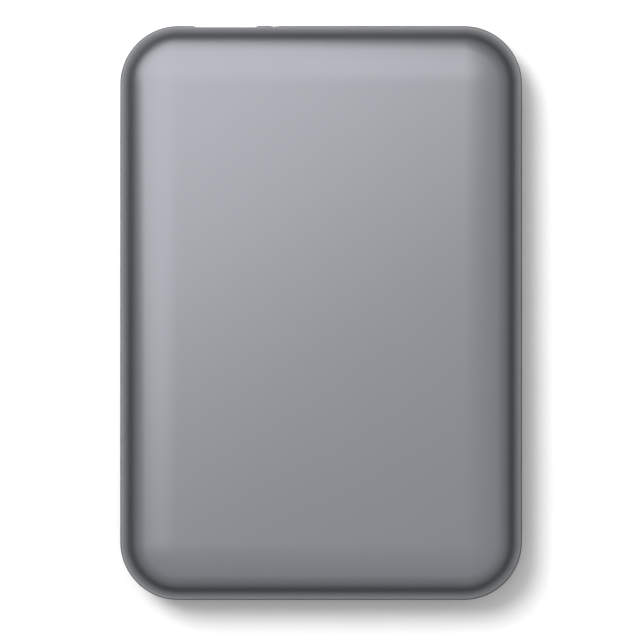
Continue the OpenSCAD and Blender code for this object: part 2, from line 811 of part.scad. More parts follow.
module drive_cover() {
  color("silver") in_drive() difference() {
    slab(cover_z, drive_h) drive_plan(0.15);
    // A shallow stamped step over the discs
    slab(drive_h - 0.12, drive_h + 1) difference() {
      circle(r = shroud_r - 3);
      circle(r = shroud_r - 6);
    }
    for (p = cover_screw_points()) translate([p[0], p[1], 0]) {
      cylinder(r = screw_r + fit, h = drive_h + 1);
      translate([0, 0, cover_z]) cylinder(r1 = screw_r + fit, r2 = 2 * screw_r, h = cover_t);
    }
    slab(cover_z - 1, drive_h + 1) translate([19, -19]) circle(r = 0.5);
  }
}

module cover_gasket() {
  color("black") in_drive() slab(rim_z, cover_z) difference() {
    drive_plan(0.5);
    well();
    for (p = cover_screw_points()) translate(p) circle(r = screw_r + 0.35);
    air_filter_plan(0.2);
  }
}

module cover_screws() {
  color("dimgray") in_drive() for (p = cover_screw_points()) translate([p[0], p[1], 0]) {
    translate([0, 0, cover_z]) cylinder(r1 = screw_r, r2 = 2 * screw_r - fit, h = cover_t);
    translate([0, 0, rim_z - 1.6]) cylinder(r = screw_r, h = 1.6 + gasket_t);
  }
}

module breather_filter() {
  color("white") in_drive() slab(cover_z - 0.35, cover_z) translate([19, -19]) circle(r = 2.5);
}

// The small air filter stands in a corner pocket, open to the discs
module air_filter_plan(grow) {
  translate([0.7071, -0.7071] * (shroud_r + 1.6)) rotate(45)
    square([7.6 + 2 * grow, 2 + 2 * grow], center = true);
}

module air_filter_pocket(grow) {
  slab(well_z, rim_z + 1) {
    air_filter_plan(grow);
    translate([0.7071, -0.7071] * (shroud_r - 0.5)) rotate(45) square([6, 4], center = true);
  }
}

module air_filter() {
  color("white") in_drive() slab(well_z, disc2_top) air_filter_plan(0);
}

module stator_core() {
  core_z = (well_z + disc1_top) / 2 + 0.6;
  color("gray") in_drive() slab(core_z - 0.35, core_z + 0.35) {
    difference() {
      circle(r = sleeve_r + boss_wall + fit + 1);
      circle(r = sleeve_r + boss_wall + fit);
    }
    for (i = [0 : teeth - 1]) rotate(i * 360 / teeth) {
      translate([sleeve_r + boss_wall + 0.6, -0.5]) square([platter_bore_r - sleeve_r - boss_wall - 3, 1]);
      sector(platter_bore_r - 2.5, platter_bore_r - 1.7, -0.36 * 360 / teeth, 0.36 * 360 / teeth);
    }
  }
}

module stator_windings() {
  core_z = (well_z + disc1_top) / 2 + 0.6;
  r0 = sleeve_r + boss_wall + 1.3;
  r1 = platter_bore_r - 2.7;
  color("peru") in_drive() for (i = [0 : teeth - 1]) rotate(i * 360 / teeth)
    translate([(r0 + r1) / 2, 0, core_z]) difference() {
      cube([r1 - r0, 2, 1.5], center = true);
      cube([r1 - r0 + 1, 1.04, 0.74], center = true);
    }
}

module spindle_sleeve() {
  color("goldenrod") in_drive() slab(0.75, disc2_z - 0.35) difference() {
    circle(r = sleeve_r);
    circle(r = shaft_r + fit);
  }
}

module thrust_plate() {
  color("silver") in_drive() slab(0.3, 0.7) circle(r = sleeve_r);
}

module clamp_holes(r) {
  for (i = [0 : clamp_screws_n - 1]) rotate(i * 360 / clamp_screws_n)
    translate([6.2, 0]) circle(r = r);
}

module spindle_hub() {
  hub_r = platter_bore_r - 0.05;
  color("lightgray") in_drive() difference() {
    union() {
      slab(well_z + 0.25, hub_top) circle(r = hub_r);
      slab(disc1_z - 0.45, disc1_z) circle(r = hub_r + hub_flange);
    }
    slab(0, hub_plate_z) circle(r = hub_r - 0.8);
    slab(0, hub_top + 1) circle(r = shaft_r + 0.01);
    slab(0, hub_top + 1) clamp_holes(screw_r + 0.1 + fit);
  }
}

module spindle_shaft() {
  color("silver") in_drive() slab(0.8, hub_top - 0.05) circle(r = shaft_r);
}

module rotor_magnet() {
  hub_r = platter_bore_r - 0.05;
  color("dimgray") in_drive() slab(well_z + 0.35, hub_plate_z - 0.3) difference() {
    circle(r = hub_r - 0.8 - fit);
    circle(r = hub_r - 1.45);
  }
}

module platter_ring() {
  difference() {
    circle(r = platter_r);
    circle(r = platter_bore_r);
  }
}

module lower_platter() {
  color("lightsteelblue") in_drive() slab(disc1_z, disc1_top) platter_ring();
}

module upper_platter() {
  color("lightsteelblue") in_drive() slab(disc2_z, disc2_top) platter_ring();
}

module platter_spacer() {
  color("silver") in_drive() slab(disc1_top, disc2_z) difference() {
    circle(r = platter_bore_r + hub_flange);
    circle(r = platter_bore_r);
  }
}

module disc_clamp() {
  rim = platter_bore_r + hub_flange + 0.4;
  color("lightgray") in_drive() difference() {
    translate([0, 0, disc2_top]) rotate_extrude()
      polygon([[2, 0], [8.4, 0], [9.4, 0.25], [rim - 1, 0.25], [rim - 0.8, 0], [rim, 0],
        [rim, 0.35], [rim - 0.3, 0.55], [9.1, 0.55], [8.1, 0.4], [2, 0.4]]);
    slab(0, drive_h) clamp_holes(screw_r + 0.1 + fit);
  }
}

module clamp_screws() {
  color("dimgray") in_drive() {
    slab(hub_plate_z + 0.1, disc2_top + 0.4) clamp_holes(screw_r + 0.1);
    slab(disc2_top + 0.4, disc2_top + 0.75) difference() {
      clamp_holes(screw_r + 0.6);
      clamp_holes(0.4);
    }
  }
}

module pivot_shaft() {
  color("silver") in_drive() about_pivot() difference() {
    union() {
      slab(well_z, well_z + 0.3) circle(r = 2.4);
      slab(well_z, pivot_top) circle(r = pivot_r);
    }
    slab(pivot_top - 2.6, pivot_top + 1) circle(r = screw_r + fit);
  }
}

// A ball bearing: two grooved rings and nine balls
module pivot_bearing(z) {
  mid_r = (pivot_r + bearing_r) / 2;
  ball_r = 0.4;
  translate([0, 0, z]) {
    difference() {
      slab(-bearing_h / 2, bearing_h / 2) {
        difference() {
          circle(r = mid_r - 0.25);
          circle(r = pivot_r + 0.01);
        }
        difference() {
          circle(r = bearing_r);
          circle(r = mid_r + 0.25);
        }
      }
      rotate_extrude() translate([mid_r, 0]) circle(r = ball_r + 0.02);
    }
    for (i = [0 : 8]) rotate(i * 40) translate([mid_r, 0, 0]) sphere(r = ball_r);
  }
}

module pivot_bearing_lower() {
  color("silver") in_drive() about_pivot() pivot_bearing(arm1_z + arm_t + bearing_h / 2);
}

module pivot_bearing_upper() {
  color("silver") in_drive() about_pivot() pivot_bearing(arm3_z - bearing_h / 2);
}

module pivot_sleeve() {
  color("lightgray") in_drive() about_pivot() slab(arm1_z + 0.2, stack_top + 0.1) difference() {
    circle(r = bearing_r + fit + sleeve_wall);
    circle(r = bearing_r + fit);
  }
}

// One arm, pointing along +X, with a lightening hole
module arm_plan() {
  tip = 0.63 * arm_l;
  difference() {
    union() {
      polygon([[2, 0.6 - arm_hub_r], [tip, -2.4], [tip, 2.4], [2, arm_hub_r - 0.6]]);
      translate([tip, 0]) circle(r = 2.4);
    }
    polygon([[8, -2.4], [tip - 5, -1.1], [tip - 5, 1.1], [8, 2.4]]);
  }
}

module arm_block() {
  bore_r = bearing_r + fit + sleeve_wall + 0.01;
  color("silver") in_drive() about_pivot() difference() {
    union() {
      slab(arm1_z - arm_air / 2, stack_top + arm_air / 2) circle(r = arm_hub_r);
      rotate(park_dir) {
        slab(arm1_z, arm1_z + arm_t) arm_plan();
        slab(arm2_z, arm2_z + mid_arm_t) arm_plan();
        slab(arm3_z, arm3_z + arm_t) arm_plan();
      }
      // The fork that holds the coil
      slab(coil_z0 + 0.25, coil_z0 + coil_t - 0.25) difference() {
        sector(4.7, coil_r - 1.6, coil_dir - fork_half, coil_dir + fork_half);
        sector(coil_r0 - 0.08, coil_r, coil_dir - fork_half + fork_angle,
          coil_dir + fork_half - fork_angle);
      }
    }
    slab(0, drive_h) circle(r = bore_r);
  }
}

module voice_coil() {
  color("peru") in_drive() about_pivot() slab(coil_z0, coil_z0 + coil_t) difference() {
    sector(coil_r0, coil_r, coil_dir - coil_half_angle, coil_dir + coil_half_angle);
    sector(coil_r0 + 2.1, coil_r - 2.1, coil_dir - 0.62 * coil_half_angle,
      coil_dir + 0.62 * coil_half_angle);
  }
}

// One suspension, pointing along +X, with its lift tab
module beam_plan() {
  root = 0.53 * arm_l;
  polygon([[root, -2.2], [root + 5, -2.2], [arm_l + 0.4, -0.6], [arm_l + 0.8, -0.2],
    [arm_l + 2.8, -0.2], [arm_l + 2.8, 0.2], [arm_l + 0.8, 0.2], [arm_l + 0.4, 0.6],
    [root + 5, 2.2], [root, 2.2]]);
}

module suspensions() {
  color("gainsboro") in_drive() about_pivot() rotate(park_dir)
    for (z = [beam1_z, beam2_z, beam3_z, beam4_z]) slab(z, z + beam_t) beam_plan();
}

module sliders() {
  color("black") in_drive() about_pivot() rotate(park_dir)
    for (z = [slider1_z, slider2_z, slider3_z, slider4_z])
      slab(z, z + slider_t) translate([arm_l, 0]) square([1.2, 0.9], center = true);
}

module yoke_plan() {
  spread = (swing / 2 + fork_half) + 5;
  difference() {
    sector(8.2, yoke_r, yoke_mid - spread, yoke_mid + spread);
    for (dir = stop_dirs) rotate(dir) translate([stop_r, 0]) circle(r = 0.5);
  }
}

module magnet_plan() {
  sector(coil_r0, coil_r + 0.2, yoke_mid - 29, yoke_mid + 29);
}

// The lower yoke carries the two posts that hold the upper one
module lower_yoke() {
  color("gray") in_drive() about_pivot() {
    slab(well_z, well_z + yoke_t) yoke_plan();
    for (dir = stop_dirs) rotate(dir) translate([stop_r, 0, 0])
      slab(well_z, upper_magnet_z + magnet_t) circle(r = 0.8);
  }
}

module upper_yoke() {
  color("gray") in_drive() about_pivot()
    slab(upper_magnet_z + magnet_t, upper_magnet_z + magnet_t + yoke_t) yoke_plan();
}

module lower_magnet() {
  color("dimgray") in_drive() about_pivot() slab(coil_z0 - coil_air - magnet_t, coil_z0 - coil_air)
    magnet_plan();
}

module upper_magnet() {
  color("dimgray") in_drive() about_pivot() slab(upper_magnet_z, upper_magnet_z + magnet_t)
    magnet_plan();
}

// Rubber sleeves on the two posts
module crash_stops() {
  color("black") in_drive() about_pivot() for (dir = stop_dirs) rotate(dir)
    translate([stop_r, 0, 0]) slab(well_z + yoke_t + 0.1, upper_magnet_z + magnet_t - 0.1) difference() {
      circle(r = stop_sleeve_r);
      circle(r = 0.8 + fit);
    }
}

// The comb that the lift tabs park on, slotted for the discs and for the tabs
module load_ramp() {
  tab_r = arm_l + 2.8;
  color("ivory") in_drive() difference() {
    about_pivot() {
      slab(well_z, stack_top + 0.1) sector(arm_l + 1.3, tab_r + 3, park_dir - 7.3, park_dir + 4);
      rotate(park_dir - 1) slab(well_z, disc1_z) translate([tab_r + 4, 0]) circle(r = 2.2);
    }
    for (z = [disc1_z, disc2_z])
      slab(z - 0.1, z + platter_t + 0.1) circle(r = platter_r + 0.4);
    about_pivot() for (z = [beam1_z, beam2_z, beam3_z, beam4_z])
      slab(z - 0.05, z + beam_t + 0.05) circle(r = tab_r + 0.3);
    about_pivot() rotate(park_dir - 1) slab(well_z - 1, drive_h) translate([tab_r + 4.3, 0])
      circle(r = 0.6);
  }
}

// The flexible circuit loops from the arm block to its bracket
module head_flex() {
  bend_r = 4.9;
  color("orange") in_drive() translate([pivot[0] + 9.9, pivot[1] + 3.8, 0])
    slab(arm1_z + 1, stack_top - 0.9) intersection() {
      difference() {
        circle(r = bend_r + 0.06);
        circle(r = bend_r - 0.06);
      }
      translate([-8, 0]) square([16, 8]);
    }
}

module flex_bracket() {
  color("black") in_drive() translate([pivot[0] + 17.25, pivot[1] + 3, 0]) {
    slab(well_z, stack_top - 0.7) square([4.6, 4], center = true);
    slab(well_z, well_z + 0.6) square([4.6, 5], center = true);
  }
}

module drive_board() {
  color("darkgreen") in_drive() difference() {
    slab(board_drop, board_top) difference() {
      intersection() {
        drive_plan(board_inset);
        translate([-drive_w / 2, pivot[1] - board_reach]) square([drive_w, drive_l]);
      }
      circle(r = board_ring_r);
      translate([plug_x - receptacle_half - 0.4, end_y - 4.5])
        square([2 * (receptacle_half + 0.4), 6]);
    }
    for (p = board_screw_points()) translate([p[0], p[1], board_drop])
      cylinder(r1 = board_head_r + 0.05, r2 = screw_r + 0.1, h = board_t);
  }
}

module board_screws() {
  color("silver") in_drive() for (p = board_screw_points()) translate([p[0], p[1], 0]) {
    translate([0, 0, board_drop]) cylinder(r1 = board_head_r, r2 = screw_r, h = board_t);
    translate([0, 0, board_top]) cylinder(r = screw_r, h = board_screw_l);
  }
}

// The three chips stand in a row in the casting's pocket
module on_board(x, w, l) {
  y = (chip_pocket[0][1] + chip_pocket[1][1]) / 2;
  in_drive() slab(board_top, board_top + chip_h)
    translate([chip_pocket[0][0] + x, y]) rounded_rect(w, l, 0.2);
}

module motor_driver() {
  color("black") on_board(chip_space / 2 + driver_w / 2, driver_w, driver_w);
}

module drive_controller() {
  color("black") on_board(chip_space * 1.5 + driver_w + controller_w / 2, controller_w, controller_w);
}

module drive_memory() {
  color("black") on_board(chip_space * 2.5 + driver_w + controller_w + memory_w / 2, memory_w, memory_l);
}

module sata_plug() {
  plug_z = tongue_z - drive_z;
  color("black") in_drive() {
    slab(board_top, rim_z - 0.65) translate([plug_x - plug_half_w, notch_y + 0.1])
      square([2 * plug_half_w, plug_back_t]);
    for (side = [-1, 1]) slab(board_top + 0.5, rim_z - 0.9)
      translate([plug_x + side * (plug_half_w - plug_side_t / 2) - plug_side_t / 2, notch_y + 1])
        square([plug_side_t, plug_depth - 1.45]);
    translate([0, end_y - 0.75, plug_z]) rotate([90, 0, 0])
      linear_extrude(plug_depth - 2.15) plug_tongues(0);
  }
}

// Flat gold strips on the tongues' upper faces
module sata_plug_contacts() {
  strip_z = tongue_z - drive_z + plug_tongue_t / 2;
  color("gold") in_drive()
    for (t = [[signal_x, signal_n], [power_x, power_n]], i = [0 : t[1] - 1])
      translate([t[0] + (i - (t[1] - 1) / 2) * contact_pitch - strip_w / 2,
        notch_y + plug_back_t + 0.2, strip_z])
        cube([strip_w, plug_depth - plug_back_t - 1.15, strip_t]);
}

top_shell();
bottom_shell();
light_pipe();
bumper_port_left();
bumper_port_right();
bumper_far_left();
bumper_far_right();
shield_foil();
bridge_board();
bridge_chip();
bridge_flash();
bridge_crystal();
bridge_passives();
activity_led();
usb_shell();
usb_tongue();
usb_contacts();
sata_receptacle();
sata_receptacle_tails();
drive_base();
drive_cover();
cover_gasket();
cover_screws();
breather_filter();
air_filter();
stator_core();
stator_windings();
spindle_sleeve();
thrust_plate();
spindle_hub();
spindle_shaft();
rotor_magnet();
lower_platter();
platter_spacer();
upper_platter();
disc_clamp();
clamp_screws();
pivot_shaft();
pivot_bearing_lower();
pivot_bearing_upper();
pivot_sleeve();
arm_block();
voice_coil();
suspensions();
sliders();
lower_yoke();
lower_magnet();
upper_magnet();
upper_yoke();
crash_stops();
load_ramp();
head_flex();
flex_bracket();
drive_board();
board_screws();
drive_controller();
drive_memory();
motor_driver();
sata_plug();
sata_plug_contacts();
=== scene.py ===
# %% [markdown]
# # A pocket hard drive, photographed from straight above
# The CAD model is the fixed frame of this scene: every Blender piece lies in its place, in metres.
# Three bodies move or stay: the enclosure, the disc pack on its spindle and the head stack on its pivot.
# First the frame is loaded and its box kept.

# %% Load the frame
import math

import bmesh
import bpy
from mathutils import Matrix, Vector


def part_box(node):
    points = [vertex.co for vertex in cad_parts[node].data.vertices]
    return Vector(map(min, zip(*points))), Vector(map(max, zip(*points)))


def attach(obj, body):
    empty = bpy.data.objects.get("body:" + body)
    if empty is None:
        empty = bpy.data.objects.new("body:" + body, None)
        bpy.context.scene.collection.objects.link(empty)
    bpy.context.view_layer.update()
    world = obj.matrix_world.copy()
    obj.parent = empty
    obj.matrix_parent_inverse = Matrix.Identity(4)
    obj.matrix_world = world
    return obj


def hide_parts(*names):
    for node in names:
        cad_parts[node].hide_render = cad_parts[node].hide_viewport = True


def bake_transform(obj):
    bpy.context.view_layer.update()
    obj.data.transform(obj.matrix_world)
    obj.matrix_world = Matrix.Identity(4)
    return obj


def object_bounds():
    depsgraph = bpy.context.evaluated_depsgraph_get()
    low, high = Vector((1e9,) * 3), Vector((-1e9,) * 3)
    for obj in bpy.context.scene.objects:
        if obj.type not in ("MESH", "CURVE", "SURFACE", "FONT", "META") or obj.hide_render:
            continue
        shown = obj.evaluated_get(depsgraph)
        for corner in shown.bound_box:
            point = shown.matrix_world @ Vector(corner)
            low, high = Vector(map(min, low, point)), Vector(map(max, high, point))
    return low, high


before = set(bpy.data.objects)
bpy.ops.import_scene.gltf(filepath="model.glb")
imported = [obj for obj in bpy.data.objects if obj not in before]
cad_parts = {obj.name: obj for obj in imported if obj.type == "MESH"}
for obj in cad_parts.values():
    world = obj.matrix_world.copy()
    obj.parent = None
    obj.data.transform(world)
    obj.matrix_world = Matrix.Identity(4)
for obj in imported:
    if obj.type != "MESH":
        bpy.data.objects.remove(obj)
cad_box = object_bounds()
MM = 0.001

# %% [markdown]
# ## The sizes that both halves share
# These are the housing's own sizes, in millimetres. The body's width, length and height come from
# the frame itself. Its shoulder is two arcs that touch: a soft one leaves the flat face level and
# turns 15 degrees, then a tighter one runs round to the seam at half height.

# %% Housing sizes
BODY_W, BODY_L, BODY_H = ((high - low) / MM for low, high in zip(*cad_box))
MID_Z = BODY_H / 2
CORNER_R = 11.6
SHOULDER = math.radians(15)
WALL = 1.6
LIP_STEP = 0.2
HALF_GAP = 0.12
LIP = 1.0
TONGUE = 0.7
TONGUE_H = 1.4
TONGUE_FIT = 0.1
print(f"housing {BODY_W:.2f} x {BODY_L:.2f} x {BODY_H:.2f} mm")

# %% [markdown]
# ## Camera
# The picture looks straight down at a flat thing with nearly no perspective, as a long lens far
# away sees it. The lens follows from two facts: how far the camera stands, and how wide a strip
# the picture takes in at the height of the seam. A camera with no rotation looks down already. It
# stands a little aside, so that the housing sits in the picture where it does in the photograph.

# %% Camera
CAMERA_HEIGHT = 1.2
CAMERA_SHIFT = (-0.00022, -0.00139)
FIELD = 0.12743
SENSOR = 36
camera_data = bpy.data.cameras.new("camera")
camera_data.sensor_width = SENSOR
camera_data.lens = SENSOR * CAMERA_HEIGHT / FIELD
camera = bpy.data.objects.new("camera", camera_data)
camera.location = (*CAMERA_SHIFT, CAMERA_HEIGHT + MID_Z * MM)
bpy.context.scene.collection.objects.link(camera)
bpy.context.scene.camera = camera
print(f"lens {camera_data.lens:.0f} mm at {CAMERA_HEIGHT} m")

# %% [markdown]
# ## Light
# A satin face is mostly a blurred mirror, so the light is planned as what each part of the housing
# sees. The flat face sees one large softbox close by, towards the upper left, and that makes it
# fall off to the lower right. All the rest above is a white tent, strongest overhead. The tent
# stops short of the table, and that dark gap draws the dark band round the shoulder. The very edge
# sees the table. A second lamp is for the table alone, as studios light a white sweep apart from
# what lies on it.

# %% Lights
SOFTBOX_PLACE = (-0.071, 0.106, 0.170)
SOFTBOX_SIZE = 0.266
SOFTBOX_POWER = 0.74
SWEEP_PLACE = (-0.50, 0.50, 1.0)
SWEEP_POWER = 4.6
SWEEP_WIDTH = math.radians(24)


def add_light(name, kind, place, power, **values):
    data = bpy.data.lights.new(name, kind)
    data.energy = power
    for key, value in values.items():
        setattr(data, key, value)
    lamp = bpy.data.objects.new(name, data)
    lamp.location = place
    lamp.rotation_euler = (-Vector(place)).to_track_quat("-Z", "Y").to_euler()
    lamp.visible_camera = False
    bpy.context.scene.collection.objects.link(lamp)
    print(name, "at", round(Vector(place).length, 3), "m")
    return lamp


add_light("softbox", "AREA", SOFTBOX_PLACE, SOFTBOX_POWER, shape="SQUARE", size=SOFTBOX_SIZE)
sweep_lamp = add_light("sweep_lamp", "SUN", SWEEP_PLACE, SWEEP_POWER, angle=SWEEP_WIDTH)

# %% [markdown]
# A few helpers serve every node tree from here on. They add a piece of arithmetic, a sum whose
# terms have weights, a mix of two colours or shaders, or a soft step. The soft step turns a value
# that rises past a stretch into one number before it and another after it.

# %% Helpers for node trees
def math_node(tree, operation, first, second=None):
    node = tree.nodes.new("ShaderNodeMath")
    node.operation = operation
    for socket, value in zip(node.inputs, (first, second)):
        if isinstance(value, (int, float)):
            socket.default_value = value
        elif value is not None:
            tree.links.new(value, socket)
    return node.outputs[0]


def weighted_sum(tree, *terms):
    total = None
    for socket, weight in terms:
        part = math_node(tree, "MULTIPLY", socket, weight)
        total = math_node(tree, "ADD", total, part) if total else part
    return total


def mix_colours(tree, factor, first, second):
    node = tree.nodes.new("ShaderNodeMix")
    node.data_type = "RGBA"
    tree.links.new(factor, node.inputs["Factor"])
    for label, value in (("A", first), ("B", second)):
        if isinstance(value, tuple):
            node.inputs[label].default_value = (*value, 1)
        else:
            tree.links.new(value, node.inputs[label])
    return node.outputs["Result"]


def mix_shaders(tree, factor, first, second):
    node = tree.nodes.new("ShaderNodeMixShader")
    for socket, value in zip(node.inputs, (factor, first, second)):
        tree.links.new(value, socket)
    return node.outputs[0]


def soft_step(tree, value, stretch, before, after):
    node = tree.nodes.new("ShaderNodeMapRange")
    node.interpolation_type = "SMOOTHSTEP"
    node.inputs["From Min"].default_value, node.inputs["From Max"].default_value = stretch
    node.inputs["To Min"].default_value, node.inputs["To Max"].default_value = before, after
    tree.links.new(value, node.inputs["Value"])
    return node.outputs[0]


# %% [markdown]
# The tent is the world's own background. How high a ray points is read from its direction, and it
# sets the strength: nearly nothing along the table, a dimmer wall above it, and full overhead. It
# is the same below, for a look at the underside. The camera itself is shown plain white instead,
# which is what a white sweep looks like in a bright picture.

# %% Tent
TENT, WALL_SHARE, WALL_TOP = 2.10, 0.60, 0.5
GAP, GAP_TOP = 0.01, (0.20, 0.28)
WHITE, BLACK = (1, 1, 1), (0, 0, 0)
world = bpy.data.worlds.new("studio")
world.use_nodes = True
bpy.context.scene.world = world
tree = world.node_tree
tent = tree.nodes["Background"]
tent.inputs["Color"].default_value = (*WHITE, 1)
direction = tree.nodes.new("ShaderNodeTexCoord")
axes = tree.nodes.new("ShaderNodeSeparateXYZ")
tree.links.new(direction.outputs["Generated"], axes.inputs[0])
slope = math_node(tree, "ABSOLUTE", axes.outputs["Z"])
wall = soft_step(tree, slope, GAP_TOP, GAP, TENT)
roof = soft_step(tree, slope, (WALL_TOP, 1), WALL_SHARE, 1)
tree.links.new(math_node(tree, "MULTIPLY", wall, roof), tent.inputs["Strength"])
white = tree.nodes.new("ShaderNodeBackground")
white.inputs["Color"].default_value = (*WHITE, 1)
seen = tree.nodes.new("ShaderNodeLightPath").outputs["Is Camera Ray"]
either = mix_shaders(tree, seen, tent.outputs[0], white.outputs[0])
tree.links.new(either, tree.nodes["World Output"].inputs["Surface"])
bpy.context.scene.view_settings.view_transform = "Standard"
print("tent", TENT, "overhead and", TENT * WALL_SHARE, "at its wall")

# %% [markdown]
# ## Effects that many finishes share
# A finish is more than a colour. The effects below are each built once as a node group and placed
# in a material with its own values: a moulded or cast grain, brushed lines, the fine rings that a
# lathe leaves, and the soft mottle of handling and batch colour. Each group takes a position in
# metres and how many marks fit in a metre. It gives back a height for a bump, a mask for a colour
# or a roughness, or both.

# %% Helpers for the groups
def start_group(name, outputs):
    group = bpy.data.node_groups.new(name, "ShaderNodeTree")
    group.interface.new_socket("Vector", in_out="INPUT", socket_type="NodeSocketVector")
    group.interface.new_socket("Per Metre", in_out="INPUT", socket_type="NodeSocketFloat")
    for label in outputs:
        group.interface.new_socket(label, in_out="OUTPUT", socket_type="NodeSocketFloat")
    given, result = group.nodes.new("NodeGroupInput").outputs, group.nodes.new("NodeGroupOutput").inputs
    return group, given, result


def noise(tree, vector, scale, detail, roughness):
    node = tree.nodes.new("ShaderNodeTexNoise")
    node.inputs["Detail"].default_value = detail
    node.inputs["Roughness"].default_value = roughness
    tree.links.new(vector, node.inputs["Vector"])
    tree.links.new(scale, node.inputs["Scale"])
    return node.outputs["Fac"]


# %% [markdown]
# Spark-eroded mould steel leaves shallow round pits with fine roughness between them. Voronoi
# cells give the pits and noise gives the rest, and both are sized by how many fit in a metre. The
# fine noise is denser than the pits and the coarse noise is sparser.

# %% Grain of a moulded or cast surface
FINER, COARSER = 1.7, 0.31
PIT_SHARE, FINE_SHARE, COARSE_SHARE = 0.6, 0.5, 0.35


def make_grain():
    group, given, result = start_group("moulded_grain", ["Height", "Mask"])
    pits = group.nodes.new("ShaderNodeTexVoronoi")
    pits.feature = "SMOOTH_F1"
    pits.inputs["Smoothness"].default_value = 0.6
    group.links.new(given["Vector"], pits.inputs["Vector"])
    group.links.new(given["Per Metre"], pits.inputs["Scale"])
    fine_scale = math_node(group, "MULTIPLY", given["Per Metre"], FINER)
    fine = noise(group, given["Vector"], fine_scale, 3, 0.6)
    coarse_scale = math_node(group, "MULTIPLY", given["Per Metre"], COARSER)
    coarse = noise(group, given["Vector"], coarse_scale, 2, 0.5)
    height = weighted_sum(group, (pits.outputs["Distance"], PIT_SHARE), (fine, FINE_SHARE),
                          (coarse, COARSE_SHARE))
    group.links.new(height, result["Height"])
    group.links.new(coarse, result["Mask"])
    return group


GRAIN = make_grain()

# %% [markdown]
# Rolled and brushed sheet has long thin lines. Noise is squeezed across the lines and stretched
# along them, by scaling the position before the noise reads it. Broad bands vary the tone.

# %% Brushed lines
STRETCH, BANDS = 0.012, 0.12


def make_brushed():
    group, given, result = start_group("brushed_lines", ["Height", "Mask"])
    squeeze = group.nodes.new("ShaderNodeVectorMath")
    squeeze.operation = "MULTIPLY"
    squeeze.inputs[1].default_value = (1, STRETCH, 1)
    group.links.new(given["Vector"], squeeze.inputs[0])
    lines = noise(group, squeeze.outputs[0], given["Per Metre"], 4, 0.65)
    broad_scale = math_node(group, "MULTIPLY", given["Per Metre"], BANDS)
    broad = noise(group, squeeze.outputs[0], broad_scale, 2, 0.5)
    group.links.new(lines, result["Height"])
    group.links.new(weighted_sum(group, (lines, 0.5), (broad, 0.5)), result["Mask"])
    return group


BRUSHED = make_brushed()

# %% [markdown]
# A turned face has rings about its axis. The distance from the axis is read from the position,
# which a Mapping node in the material has already centred, and noise along it sets each ring.

# %% Lathe rings
def make_turned():
    group, given, result = start_group("lathe_rings", ["Height", "Mask"])
    axes = group.nodes.new("ShaderNodeSeparateXYZ")
    group.links.new(given["Vector"], axes.inputs[0])
    square = [math_node(group, "MULTIPLY", axes.outputs[axis], axes.outputs[axis]) for axis in "XY"]
    radius = math_node(group, "SQRT", math_node(group, "ADD", *square))
    place = group.nodes.new("ShaderNodeCombineXYZ")
    group.links.new(radius, place.inputs["X"])
    group.links.new(axes.outputs["Z"], place.inputs["Y"])
    rings = noise(group, place.outputs[0], given["Per Metre"], 3, 0.6)
    group.links.new(rings, result["Height"])
    group.links.new(rings, result["Mask"])
    return group


TURNED = make_turned()

# %% [markdown]
# Hands, trays and batches of pellets leave a slow change of tone over a piece. It is the last of
# the shared effects, and every finish has a little of it.

# %% Slow mottle
def make_mottle():
    group, given, result = start_group("slow_mottle", ["Mask"])
    group.links.new(noise(group, given["Vector"], given["Per Metre"], 3, 0.55), result["Mask"])
    return group


MOTTLE = make_mottle()
print("shared effects:", [g.name for g in bpy.data.node_groups])

# %% [markdown]
# ## One recipe for a finish
# Every finish here is a Principled shader whose colour, roughness and bump are stirred by the
# shared effects. The recipe takes two colours to move between, the surface effect, how many of
# its marks fit in a metre, and how deep they are. What is the same all over, such as metalness,
# stays a plain number on the shader. The stir keeps near its middle, so only that stretch of it
# is spread over the two roughnesses.

# %% The recipe
SLOW_SHARE, FINE_MASK_SHARE = 0.6, 0.4
STIR_FROM, STIR_TO = 0.3, 0.7
FINISHES = {}


def finish(slot, dark, light, rough, texture, per_metre, depth, strength,
           metallic=0.0, mottle=80, centre=(0, 0, 0), **plain):
    """A material for one slot of the record. depth is in millimetres, centre in metres."""
    material = bpy.data.materials.new(slot)
    material.use_nodes = True
    tree = material.node_tree
    shader = tree.nodes["Principled BSDF"]
    shader.inputs["Metallic"].default_value = metallic
    for key, value in plain.items():
        shader.inputs[key.replace("_", " ")].default_value = value
    where = tree.nodes.new("ShaderNodeTexCoord")
    mapping = tree.nodes.new("ShaderNodeMapping")
    mapping.inputs["Location"].default_value = [-c for c in centre]
    tree.links.new(where.outputs["Object"], mapping.inputs["Vector"])

    def place(group, scale):
        node = tree.nodes.new("ShaderNodeGroup")
        node.node_tree = group
        node.inputs["Per Metre"].default_value = scale
        tree.links.new(mapping.outputs[0], node.inputs["Vector"])
        return node

    slow = place(MOTTLE, mottle)
    fine = place(texture, per_metre)
    stir = weighted_sum(tree, (slow.outputs["Mask"], SLOW_SHARE), (fine.outputs["Mask"], FINE_MASK_SHARE))
    tree.links.new(mix_colours(tree, stir, dark, light), shader.inputs["Base Color"])
    spread = tree.nodes.new("ShaderNodeMapRange")
    spread.inputs["From Min"].default_value, spread.inputs["From Max"].default_value = STIR_FROM, STIR_TO
    spread.inputs["To Min"].default_value, spread.inputs["To Max"].default_value = rough
    tree.links.new(stir, spread.inputs["Value"])
    tree.links.new(spread.outputs[0], shader.inputs["Roughness"])
    bump = tree.nodes.new("ShaderNodeBump")
    bump.inputs["Strength"].default_value = strength
    bump.inputs["Distance"].default_value = depth * MM
    tree.links.new(fine.outputs["Height"], bump.inputs["Height"])
    tree.links.new(bump.outputs["Normal"], shader.inputs["Normal"])
    FINISHES[slot] = material


